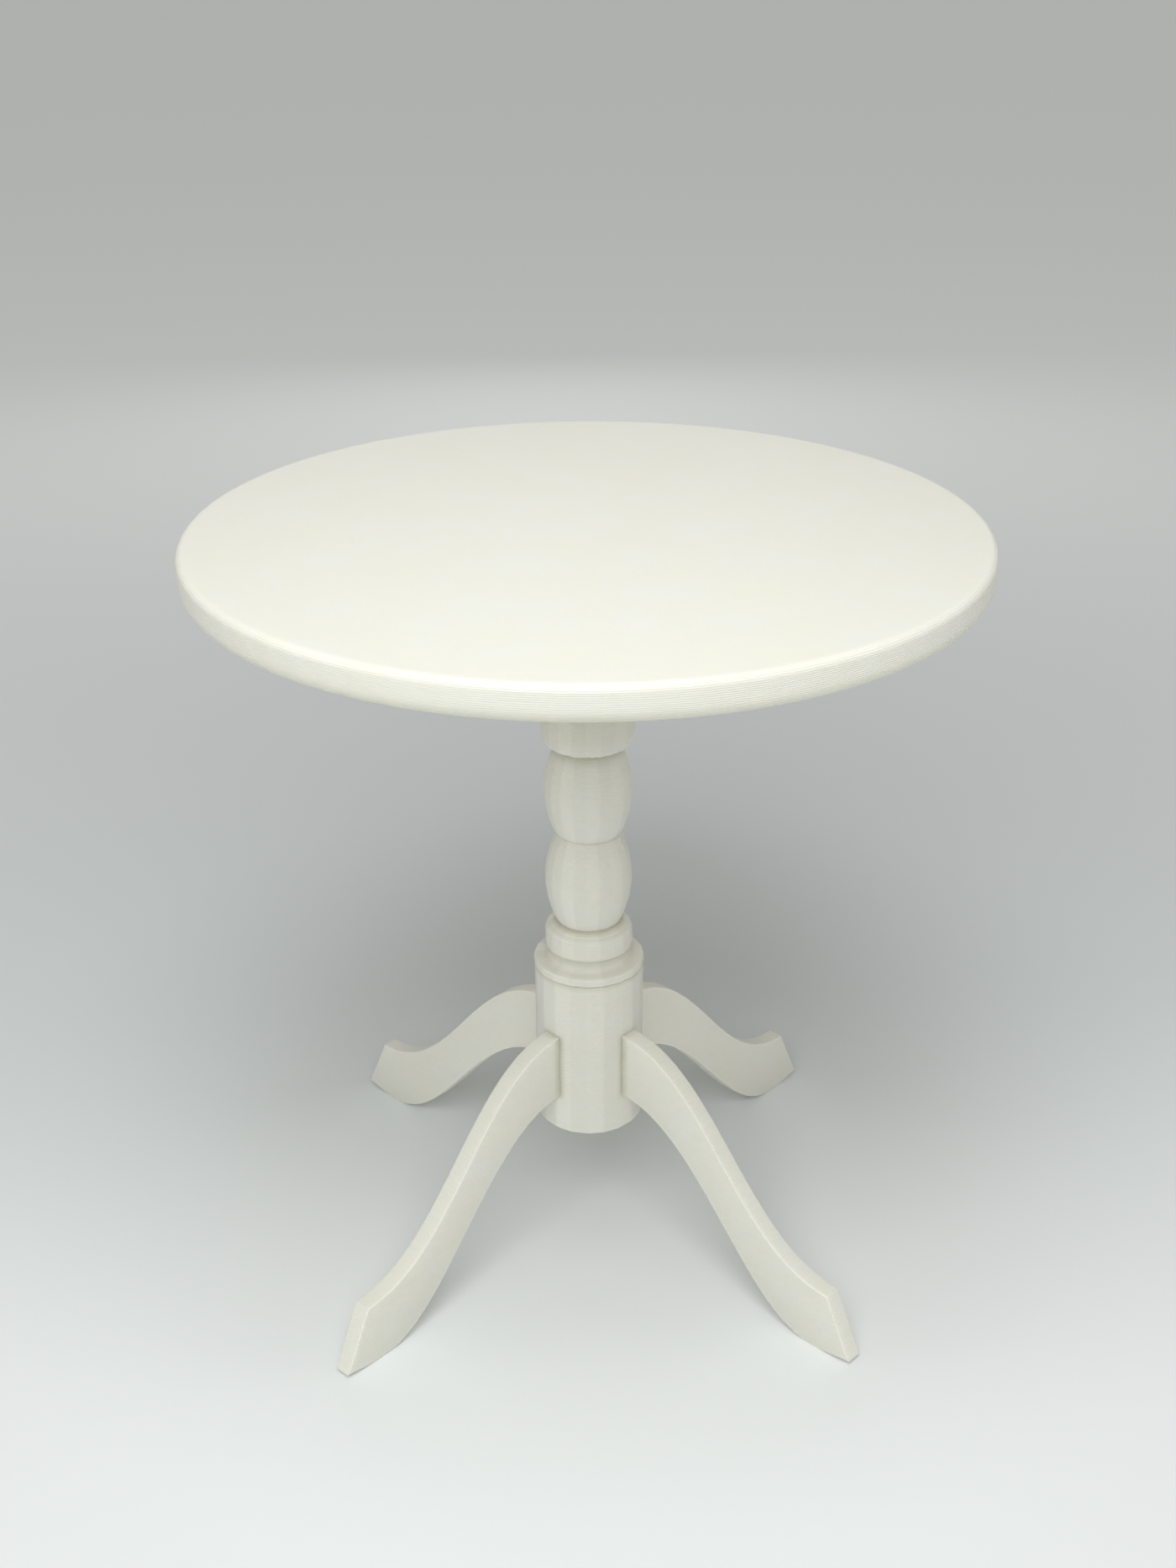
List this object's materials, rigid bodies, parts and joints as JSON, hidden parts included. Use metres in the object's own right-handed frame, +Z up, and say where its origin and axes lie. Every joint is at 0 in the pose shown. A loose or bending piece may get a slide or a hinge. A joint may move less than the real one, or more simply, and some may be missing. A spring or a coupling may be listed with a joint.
{
  "type": "miniature dining table",
  "caption": "Dolls house round pedestal table: flat round top on a turned column, a cylindrical hub and curved blade legs, in matte ivory printed plastic.",
  "frame": {"origin": "on the floor, on the axis of the column, at the middle of the footprint", "axes": "+Z up along the column; the legs stand at 45, 135, 225 and 315 degrees from +X; front is -Y"},
  "size_m": [0.06, 0.06, 0.0625],
  "materials": {
    "tabletop_print": "matte ivory print with faint layer lines",
    "collar_print": "matte ivory print with faint layer lines",
    "column_print": "matte ivory print with faint layer lines",
    "hub_print": "matte ivory print with faint layer lines",
    "leg_print": "matte ivory print with faint layer lines"
  },
  "bodies": {
    "root": {"tabletop": "tabletop_print", "top_collar": "collar_print", "column": "column_print", "hub": "hub_print", "leg_front_left": "leg_print", "leg_front_right": "leg_print", "leg_back_left": "leg_print", "leg_back_right": "leg_print"}
  },
  "joints": []
}
